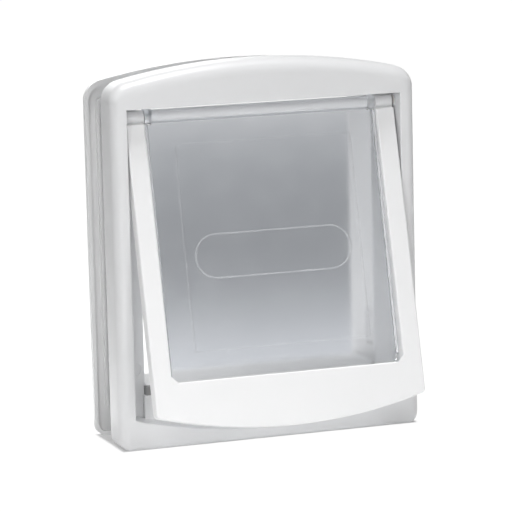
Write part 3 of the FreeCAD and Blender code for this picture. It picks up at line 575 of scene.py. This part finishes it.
def make_piece(name: str, points: np.ndarray, faces: np.ndarray, material: bpy.types.Material,
               body: Body, smooth: bool = True) -> bpy.types.Object:
    """Puts computed points and faces into an object that rides on a body.

    Points that coincide are welded, which closes seams and ends, and the faces are turned
    outwards.

    Args:
        name: The piece's name.
        points: The places in metres, X, Y and Z last.
        faces: Rows of corner numbers, all of one length; -1 pads a shorter face.
        material: The finish.
        body: What the piece moves with.
        smooth: Whether light runs smoothly from face to face.

    Returns:
        The new object.
    """
    mesh = new_mesh(name, points.reshape(-1, 3), faces)
    work = bmesh.new()
    work.from_mesh(mesh)
    bmesh.ops.remove_doubles(work, verts=work.verts, dist=WELD)
    bmesh.ops.recalc_face_normals(work, faces=work.faces)
    work.to_mesh(mesh)
    work.free()
    mesh.polygons.foreach_set("use_smooth", np.full(len(mesh.polygons), smooth))
    mesh.materials.append(material)
    mesh.update()
    made = bpy.data.objects.new(name, mesh)
    bpy.context.scene.collection.objects.link(made)
    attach(made, body.value)
    LOG.info("built %s: %d faces", name, len(mesh.polygons))
    return made


@dataclass(frozen=True)
class PileSeal:
    """A strip of pile: a woven backing tape with rows of fibre tufts.

    A tuft is a surface of two numbers, the angle round it and the height h from 0 to 1:
    its radius is full * (1 - taper * h to the power 5) * (0.7 + 0.3 * sin(pi * h)), and its
    middle leans by lean * h squared. The tape is a superellipse, |a|^4 + |b|^4 = 1, carried
    along the strip with a slight flutter at its edges, and closed to a point at each end.
    """

    name: str
    node: str
    middle: tuple
    length: float
    upright: bool
    depth: float
    seed: int
    width: float = 4.4 * MM
    root: float = 0.9 * MM
    tape: float = 0.9 * MM
    tape_power: float = 4.0
    tape_sides: int = 24
    tape_rows: int = 61
    flutter: float = 0.02
    flutter_length: float = 1.2 * MM
    pitch: float = 0.95 * MM
    lanes: int = 4
    full: float = 0.62 * MM
    taper: float = 0.97
    sunk: float = 0.6
    uneven: float = 0.1
    lean: float = 0.25 * MM
    stray: float = 0.1 * MM
    gather: float = 0.08
    sides: int = 6
    rings: tuple = (0.0, 0.35, 0.7, 0.92, 1.0)

    def strip(self, along: np.ndarray, across: np.ndarray, out: np.ndarray) -> np.ndarray:
        """Turns measures on the strip into places on the flap, counted from the hinge.

        Args:
            along: How far along the strip.
            across: How far across it.
            out: How far out from its groove.

        Returns:
            The places.
        """
        if self.upright:
            return np.stack(np.broadcast_arrays(self.middle[0] + across, out, self.middle[1] + along), -1)
        return np.stack(np.broadcast_arrays(self.middle[0] + along, out, self.middle[1] - across), -1)

    def tufts(self) -> tuple:
        """Works out all tufts at once.

        Returns:
            Their points and faces.
        """
        spread = np.random.default_rng(self.seed)
        count = int((self.length - self.pitch) / self.pitch)
        at = (np.arange(count) - (count - 1) / 2) * self.pitch
        lane = np.arange(self.lanes)
        lanes = (lane - (self.lanes - 1) / 2) * (self.width - 2 * self.full) / (self.lanes - 1)
        along = (at[:, None] + self.pitch / 2 * (lane % 2 - 0.5)[None, :]).reshape(-1, 1, 1)
        across = np.broadcast_to(lanes, (count, self.lanes)).reshape(-1, 1, 1)
        total = along.size
        uneven = 1.0 - self.uneven + self.uneven * spread.random(total)
        tall = ((self.depth - self.tape) * uneven)[:, None, None]
        lean_along = spread.normal(0.0, self.lean, total)[:, None, None]
        stray = np.clip(spread.normal(0.0, self.stray, total), -2 * self.stray, 2 * self.stray)[:, None, None]
        height = np.array(self.rings)[None, :, None]
        angle = (np.arange(self.sides) * TURN / self.sides)[None, None, :]
        radius = self.full * (1.0 - self.taper * height ** 5) * (0.7 + 0.3 * np.sin(math.pi * height))
        points = self.strip(
            along + lean_along * height ** 2 + radius * np.cos(angle),
            across + (stray - across * self.gather) * height ** 2 + radius * np.sin(angle),
            self.root + self.tape * self.sunk + tall * height,
        ).reshape(-1, 3)
        ring = np.arange(self.sides)
        ends = np.stack([ring[::-1], ring + (len(self.rings) - 1) * self.sides])
        tuft = np.concatenate([padded(grid_faces(len(self.rings), self.sides), self.sides), ends])
        step = (np.arange(total) * len(self.rings) * self.sides)[:, None, None]
        return points, moved_on(tuft[None], step).reshape(-1, self.sides)

    def backing(self) -> tuple:
        """Works out the woven tape.

        Returns:
            Its points and faces.
        """
        a, b = squared_ring(self.tape_sides, self.tape_power)
        down = np.linspace(-self.length / 2, self.length / 2, self.tape_rows)
        along, size = closed_run(down, 1.0 + self.flutter * np.sin(down / self.flutter_length))
        out = self.root + self.tape / 2 * (1.0 + size * b)
        points = self.strip(along, size * a * self.width / 2, out).reshape(-1, 3)
        return points, padded(grid_faces(self.tape_rows + 2, self.tape_sides), self.sides)

    def build(self, material: bpy.types.Material, hinge: Hinge) -> None:
        """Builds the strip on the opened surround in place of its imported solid.

        Args:
            material: The finish.
            hinge: The hinge that the surround hangs on.
        """
        tuft_points, tuft_faces = self.tufts()
        tape_points, tape_faces = self.backing()
        points = hinge.hang(np.concatenate([tuft_points, tape_points]), hinge.surround)
        faces = np.concatenate([tuft_faces, moved_on(tape_faces, len(tuft_points))])
        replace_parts(make_piece(self.name, points, faces, material, Body.SURROUND), self.node)


@dataclass(frozen=True)
class ScrewThread:
    """The thread of a fixing screw where it crosses the gap between the frames.

    The ridge is a surface of two numbers, the turn t and the place p round a three-sided
    section: the foot points lie just under the shank's radius and the crest stands out by
    the ridge's height, which runs out to nothing at both ends.
    """

    name: str
    place: tuple
    start: float = 3.6 * MM
    end: float = 33.0 * MM
    shank: float = 1.75 * MM
    foot: float = 0.08 * MM
    ridge: float = 0.45 * MM
    ridge_half: float = 0.42
    run_out: float = 0.8
    pitch: float = 1.3 * MM
    steps: int = 22

    def build(self, material: bpy.types.Material) -> None:
        """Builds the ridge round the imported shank.

        Args:
            material: The finish.
        """
        turns = (self.end - self.start) / self.pitch
        t = np.linspace(0.0, turns, int(turns * self.steps))[:, None]
        fade = np.clip(np.minimum(t, turns - t) / self.run_out, 0.0, 1.0)
        foot, crest = np.array([1.0, 0.0, 1.0]), np.array([0.0, 1.0, 0.0])
        radius = self.shank - self.foot * foot + fade * self.ridge * crest
        along = self.start + self.pitch * (t + fade * self.ridge_half * np.array([-1.0, 0.0, 1.0]))
        points = np.stack([
            self.place[0] + radius * np.cos(TURN * t), np.clip(along, self.start, self.end),
            self.place[1] + radius * np.sin(TURN * t),
        ], -1)
        last = 3 * len(t) - 1
        ends = np.array([[0, 1, 2], [last, last - 1, last - 2]])
        faces = np.concatenate([grid_faces(len(t), 3), padded(ends, 4)])
        make_piece(self.name, points, faces, material, Body.FRAMES, smooth=False)


@dataclass(frozen=True)
class HingeSleeve:
    """A ring with rounded edges, turned about the hinge axis.

    The surface has two numbers: p runs round an oblong section with quarter-circle
    corners, which gives a place along X and a radius, and t turns it about the axis.
    """

    name: str
    span: tuple
    radii: tuple
    body: Body
    corner: float = 0.5 * MM
    arc: int = 6
    sides: int = 48

    def build(self, material: bpy.types.Material, hinge: Hinge) -> None:
        """Builds the ring.

        Args:
            material: The finish.
            hinge: The hinge that the ring goes round.
        """
        step = np.arange(4 * self.arc)
        quarter = step // self.arc
        p = (quarter + (step % self.arc) / (self.arc - 1)) * TURN / 4
        side = np.where((quarter == 0) | (quarter == 3), 1.0, -1.0)
        out = np.where(quarter < 2, 1.0, -1.0)
        half_x, half_r = (self.span[1] - self.span[0]) / 2, (self.radii[1] - self.radii[0]) / 2
        x = sum(self.span) / 2 + side * (half_x - self.corner) + self.corner * np.cos(p)
        radius = sum(self.radii) / 2 + out * (half_r - self.corner) + self.corner * np.sin(p)
        t = np.linspace(0.0, TURN, self.sides + 1)[:, None]
        points = np.stack(np.broadcast_arrays(
            x, hinge.y + radius * np.cos(t), hinge.z + radius * np.sin(t),
        ), -1)
        make_piece(self.name, points, grid_faces(self.sides + 1, len(step)), material, self.body)


@dataclass(frozen=True)
class EdgeBead:
    """A slim cloudy bead down one side of the window.

    Its section is a superellipse, |a|^6 + |b|^6 = 1 with a across the window and b through
    it. The section is carried down the window and closed to a point at each end.
    """

    side: Side
    across: tuple = (73.2 * MM, 75.2 * MM)
    through: tuple = (-2.5 * MM, 0.2 * MM)
    span: tuple = (-157.0 * MM, -4.3 * MM)
    power: float = 6.0
    sides: int = 24
    rows: int = 31

    def build(self, material: bpy.types.Material, hinge: Hinge) -> None:
        """Builds the bead on the opened window.

        Args:
            material: The finish.
            hinge: The hinge that the window hangs on.
        """
        a, b = squared_ring(self.sides, self.power)
        down, size = closed_run(np.linspace(*self.span, self.rows), np.ones(self.rows))
        x = self.side.value * (sum(self.across) / 2 + size * a * (self.across[1] - self.across[0]) / 2)
        y = sum(self.through) / 2 + size * b * (self.through[1] - self.through[0]) / 2
        points = hinge.hang(np.stack(np.broadcast_arrays(x, y, down), -1), hinge.window)
        faces = grid_faces(self.rows + 2, self.sides)
        make_piece(self.side.named("edge_bead"), points, faces, material, Body.WINDOW)


@dataclass(frozen=True)
class Frames:
    """Both frames with the hinge's rod and bushes, the sill magnet and the screws."""

    front: MouldedWhite = MouldedWhite()
    # Painted light: a lighter copy of the moulded white for the back frame and caps, standing in for light on
    # the shaded tray.
    back: MouldedWhite = MouldedWhite("back_lit_white", (0.91, 0.912, 0.914))

    def build(self, nodes: dict) -> None:
        """Dresses the frames' solids and gives the screws their threads.

        Args:
            nodes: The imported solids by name.
        """
        dress(nodes, ["front_frame"], self.front.make())
        dress(nodes, ["back_frame", *(corner.named("screw_cap") for corner in Corner)], self.back.make())
        dress(nodes, ["hinge_rod", *(side.named("hinge_bush") for side in Side)], WaxyNylon().make())
        dress(nodes, ["sill_magnet"], FerriteRubber().make())
        steel = BrushedSteel().make()
        for corner in Corner:
            screw = corner.named("fixing_screw")
            dress(nodes, [screw], steel)
            low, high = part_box(screw)
            middle = ((low[0] + high[0]) / 2, (low[2] + high[2]) / 2)
            ScrewThread(corner.named("thread"), middle).build(steel)


@dataclass(frozen=True)
class Flap:
    """The white surround with its seals, collars and keeper, and the tinted window."""

    hinge: Hinge
    # Painted light: a lighter copy of the moulded white, standing in for the light the opened surround
    # catches.
    white: MouldedWhite = MouldedWhite("surround_lit_white", (0.925, 0.927, 0.932), 0.3)
    # Painted shade: a darker copy of the moulded white, standing in for the shade the collars sit in under
    # the frame's edge.
    plain: MouldedWhite = MouldedWhite("collar_white", (0.69, 0.694, 0.702))
    sleeve_milk: float = 0.58
    bead_milk: float = 0.3
    knuckle_span: tuple = (-71.0 * MM, 71.0 * MM)
    knuckle_radii: tuple = (2.5 * MM, 4.15 * MM)
    collar_span: tuple = (75.6 * MM, 87.2 * MM)
    collar_radii: tuple = (3.1 * MM, 4.2 * MM)
    arm_seal: tuple = (81.6 * MM, -88.7 * MM)
    arm_seal_length: float = 147.2 * MM
    arm_seal_depth: float = 6.7 * MM
    bar_seal: tuple = (0.0, -179.7 * MM)
    bar_seal_length: float = 149.6 * MM
    bar_seal_depth: float = 2.9 * MM
    first_seed: int = 11

    def window(self) -> None:
        """Builds the beads beside the window and the sleeve on its knuckle."""
        cloudy = TintedClear(self.hinge, "bead_clear", self.bead_milk).make()
        for side in Side:
            EdgeBead(side).build(cloudy, self.hinge)
        frosted = TintedClear(self.hinge, "frosted_clear", self.sleeve_milk).make()
        sleeve = HingeSleeve("knuckle_sleeve", self.knuckle_span, self.knuckle_radii, Body.WINDOW)
        sleeve.build(frosted, self.hinge)

    def collars(self) -> None:
        """Builds the collar on each of the surround's barrels."""
        # Painted shade: the collars take the darkened copy of the white.
        plain = self.plain.make()
        for side in Side:
            span = tuple(sorted(side.value * end for end in self.collar_span))
            collar = HingeSleeve(side.named("collar"), span, self.collar_radii, Body.SURROUND)
            collar.build(plain, self.hinge)

    def seals(self) -> None:
        """Builds the pile down both arms and along the bar."""
        pile = PileCloth().make()
        for seed, side in enumerate(Side, self.first_seed):
            middle = (side.value * self.arm_seal[0], self.arm_seal[1])
            arm = PileSeal(side.named("pile"), side.named("arm_seal"), middle, self.arm_seal_length, True,
                           self.arm_seal_depth, seed)
            arm.build(pile, self.hinge)
        bar = PileSeal("pile_bar", "bar_seal", self.bar_seal, self.bar_seal_length, False,
                       self.bar_seal_depth, self.first_seed + len(Side))
        bar.build(pile, self.hinge)

    def build(self, nodes: dict) -> None:
        """Dresses the flap's solids and builds the finer pieces on them.

        Args:
            nodes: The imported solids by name.
        """
        dress(nodes, ["flap_surround"], self.white.make())
        dress(nodes, ["flap_window"], TintedClear(self.hinge).make())
        self.window()
        self.collars()
        self.seals()
        dress(nodes, ["bar_keeper"], BrushedSteel("keeper_steel").make())


@dataclass(frozen=True)
class SoftLight:
    """An oblong light that the camera doesn't see."""

    name: str
    place: tuple
    power: float
    size: tuple = (0.7, 0.7)
    towards: tuple = (0.0, 0.0, 0.0)

    def build(self) -> None:
        """Stands the light in its place and faces it towards its point."""
        data = bpy.data.lights.new(self.name, "AREA")
        data.shape = "RECTANGLE"
        data.size, data.size_y = self.size
        data.energy = self.power
        made = bpy.data.objects.new(self.name, data)
        made.location = self.place
        facing = Vector(self.towards) - Vector(self.place)
        made.rotation_euler = facing.to_track_quat("-Z", "Y").to_euler()
        made.visible_camera = False
        bpy.context.scene.collection.objects.link(made)


@dataclass(frozen=True)
class Viewpoint:
    """The camera, where the photograph was taken from.

    From straight ahead it is turned to the right, faces down and is tilted a little.
    """

    lens: float = 227.87
    sensor: float = 36.0
    eye: tuple = (-676.69 * MM, -1871.32 * MM, 317.43 * MM)
    turned: float = math.radians(19.85079)
    down: float = math.radians(9.25203)
    tilt: float = math.radians(-1.43531)
    reach: float = 50.0

    def build(self) -> None:
        """Adds the camera to the scene."""
        data = bpy.data.cameras.new("camera")
        data.lens = self.lens
        data.sensor_width = self.sensor
        data.clip_end = self.reach
        made = bpy.data.objects.new("camera", data)
        turned = Matrix.Rotation(-self.turned, 4, "Z")
        raised = Matrix.Rotation(TURN / 4 - self.down, 4, "X")
        tilted = Matrix.Rotation(self.tilt, 4, "Z")
        made.matrix_world = Matrix.Translation(self.eye) @ turned @ raised @ tilted
        bpy.context.scene.collection.objects.link(made)
        bpy.context.scene.camera = made


@dataclass(frozen=True)
class Backdrop:
    """Pale floor that runs up into an upright, and what it looks like.

    It is white to the camera outside the frames' foot, and under the foot, by light and
    in reflections it is paper. Behind the frames the paper glows a little, which
    lights the passage. Through the window it shows painted shade: greys that glow by
    their depth behind the frames.
    """

    width: float = 8.0
    front: float = -5.0
    bend_y: float = 1.6
    bend: float = 1.2
    height: float = 4.0
    paper_tones: tuple = ((0.8, 0.8, 0.8), (0.78, 0.78, 0.78))
    screen: float = 1.08
    screen_share: float = 0.9
    foot_edge: float = 3.0 * MM
    floor_glow: float = 0.15
    behind_glow: float = 1.1
    behind_side: tuple = (0.12, 0.2)
    behind_near: tuple = (0.05, 0.07)
    behind_far: tuple = (0.5, 0.8)
    # Painted shade: bluish greys that glow through the window in place of the shaded space behind it.
    painted_shade_tint: tuple = (0.965, 0.995, 1.045)
    painted_shade_depth: float = 2.4
    painted_shade_greys: tuple = (
        (0.0, 0.74), (0.035, 0.6), (0.055, 0.52), (0.09, 0.42), (0.12, 0.355), (0.19, 0.31), (0.24, 0.31),
        (0.35, 0.34), (0.5, 0.375), (0.65, 0.42), (1.0, 0.46),
    )

    def clear_of_foot(self, sheet: Sheet, x: object, y: object) -> bpy.types.NodeSocket:
        """Marks the floor outside the oblong that the frames stand on.

        Args:
            sheet: The node tree.
            x: The place along X.
            y: The place along Y.

        Returns:
            The screen's share outside the oblong and 0 inside it.
        """
        boxes = [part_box(name) for name in ("front_frame", "back_frame")]
        lows = [min(low[axis] for low, high in boxes) for axis in (0, 1)]
        highs = [max(high[axis] for low, high in boxes) for axis in (0, 1)]
        over = [
            sheet.math("SUBTRACT", sheet.from_middle(place, (low + high) / 2), (high - low) / 2)
            for place, low, high in zip((x, y), lows, highs)
        ]
        return sheet.ramp(sheet.math("MAXIMUM", *over), -self.foot_edge, 0.0, 0.0, self.screen_share)

    def shine(self, sheet: Sheet, x: object, y: object) -> bpy.types.NodeSocket:
        """Works out how much the paper glows: more behind the frames than elsewhere.

        Args:
            sheet: The node tree.
            x: The place along X.
            y: The place along Y.

        Returns:
            The glow's strength.
        """
        aside = sheet.ramp(sheet.from_middle(x), *self.behind_side, self.behind_glow, 0.0)
        near = sheet.ramp(y, *self.behind_near, 0.0, 1.0)
        far = sheet.ramp(y, *self.behind_far, 1.0, 0.0)
        behind = sheet.math("MULTIPLY", aside, sheet.math("MULTIPLY", near, far))
        return sheet.math("ADD", behind, self.floor_glow)

    def painted_shade_through_window(self, sheet: Sheet, y: object) -> bpy.types.Node:
        """Adds the painted shade that shows through the window: glowing greys by depth behind the frames.

        Args:
            sheet: The node tree.
            y: The place along Y.

        Returns:
            The shader's node.
        """
        grey = sheet.node("ValToRGB", {0: sheet.ramp(y, 0.0, self.painted_shade_depth, 0.0, 1.0)})
        elements = grey.color_ramp.elements
        for stop, (place, value) in enumerate(self.painted_shade_greys):
            element = elements[0] if stop == 0 else elements.new(place)
            element.position = place
            element.color = (*(value * part for part in self.painted_shade_tint), 1.0)
        elements.remove(elements[-1])
        return sheet.node("Emission", {0: grey.outputs[0], 1: 1.0})

    def paper(self) -> bpy.types.Material:
        """Builds the finish.

        Returns:
            The backdrop's material.
        """
        sheet = Sheet("backdrop_paper")
        places = sheet.places()
        parts = sheet.node("SeparateXYZ", {0: places})
        x, y = parts.outputs[0], parts.outputs[1]
        path = sheet.node("LightPath")
        matt = sheet.node("BsdfDiffuse", {0: sheet.blend(sheet.noise(places, 3.0, 2.0), *self.paper_tones)})
        glow = sheet.node("Emission", {0: WHITE, 1: self.shine(sheet, x, y)})
        plain = sheet.node("AddShader", {0: matt.outputs[0], 1: glow.outputs[0]})
        screen = sheet.node("Emission", {0: WHITE, 1: self.screen})
        to_camera = sheet.math("MULTIPLY", path.outputs["Is Camera Ray"], self.clear_of_foot(sheet, x, y))
        bright = sheet.switch(to_camera, plain, screen)
        # Painted shade: rays through the window see the glowing greys instead of the paper.
        return sheet.close(sheet.switch(path.outputs["Is Transmission Ray"], bright, self.painted_shade_through_window(sheet, y)))

    def build(self) -> None:
        """Builds the floor and the upright as one swept sheet.

        The profile runs level from the front to the bend, turns up in a quarter circle
        and ends in an upright; it is carried straight along X.
        """
        level = np.linspace(self.front, self.bend_y, 12)[:-1]
        turn = np.linspace(0.0, TURN / 4, 24)
        upright = np.linspace(self.bend, self.height, 7)[1:]
        wall_y = self.bend_y + self.bend
        y = np.concatenate([level, self.bend_y + self.bend * np.sin(turn), np.full(len(upright), wall_y)])
        z = np.concatenate([np.zeros(len(level)), self.bend * (1.0 - np.cos(turn)), upright])
        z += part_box("front_frame")[0][2]
        x = np.linspace(-self.width / 2, self.width / 2, 3)
        points = np.stack(np.broadcast_arrays(x, y[:, None], z[:, None]), -1)
        index = np.arange(y.size * x.size).reshape(y.size, x.size)
        faces = np.stack([index[:-1, :-1], index[:-1, 1:], index[1:, 1:], index[1:, :-1]], -1)
        mesh = new_mesh("backdrop", points.reshape(-1, 3), faces.reshape(-1, 4))
        made = bpy.data.objects.new("backdrop", mesh)
        bpy.context.scene.collection.objects.link(made)
        mesh.materials.append(self.paper())


@dataclass(frozen=True)
class Studio:
    """Pale surroundings, soft lights and the camera."""

    lights: Sequence[SoftLight] = (
        SoftLight("front", (0.191, -2.189, 0.115), 9.3),
        SoftLight("left", (-1.07, -1.528, 1.166), 10.0),
        SoftLight("top", (0.03, -0.08, 2.0), 35.0, (0.3, 0.8), (0.03, -0.08, 0.0)),
        SoftLight("low_side", (-0.165, 0.012, -0.108), 0.01, (0.06, 0.05), (-0.099, 0.012, -0.1)),
        SoftLight("low_front", (-0.2, -0.5, -0.06), 0.26, (0.14, 0.08), (-0.09, 0.0, -0.11)),
        SoftLight("back", (0.1, 1.6, 0.7), 5.0, (0.9, 0.9)),
    )

    def world(self) -> None:
        """Makes the surroundings white to the camera and dark to everything else."""
        world = bpy.data.worlds.new("world")
        world.use_nodes = True
        sky = world.node_tree.nodes["Background"]
        sky.inputs[0].default_value = WHITE
        path = world.node_tree.nodes.new("ShaderNodeLightPath")
        world.node_tree.links.new(path.outputs["Is Camera Ray"], sky.inputs[1])
        bpy.context.scene.world = world
        bpy.context.scene.view_settings.view_transform = "Standard"

    def build(self) -> None:
        """Sets up the backdrop, the lights, the world and the camera."""
        Backdrop().build()
        for light in self.lights:
            light.build()
        self.world()
        Viewpoint().build()


def main(frame: dict) -> None:
    """Builds the sub-assemblies in order.
    """
    logging.basicConfig(level=logging.INFO, format="%(name)s: %(message)s")
    for part in (Frames(), Flap(Hinge.of(frame["joints"]))):
        part.build(frame["nodes"])
        LOG.info("built %s", type(part).__name__)
    Studio().build()
    LOG.info("built the studio")


if __name__ == "__main__":
    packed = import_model()
    main(packed)
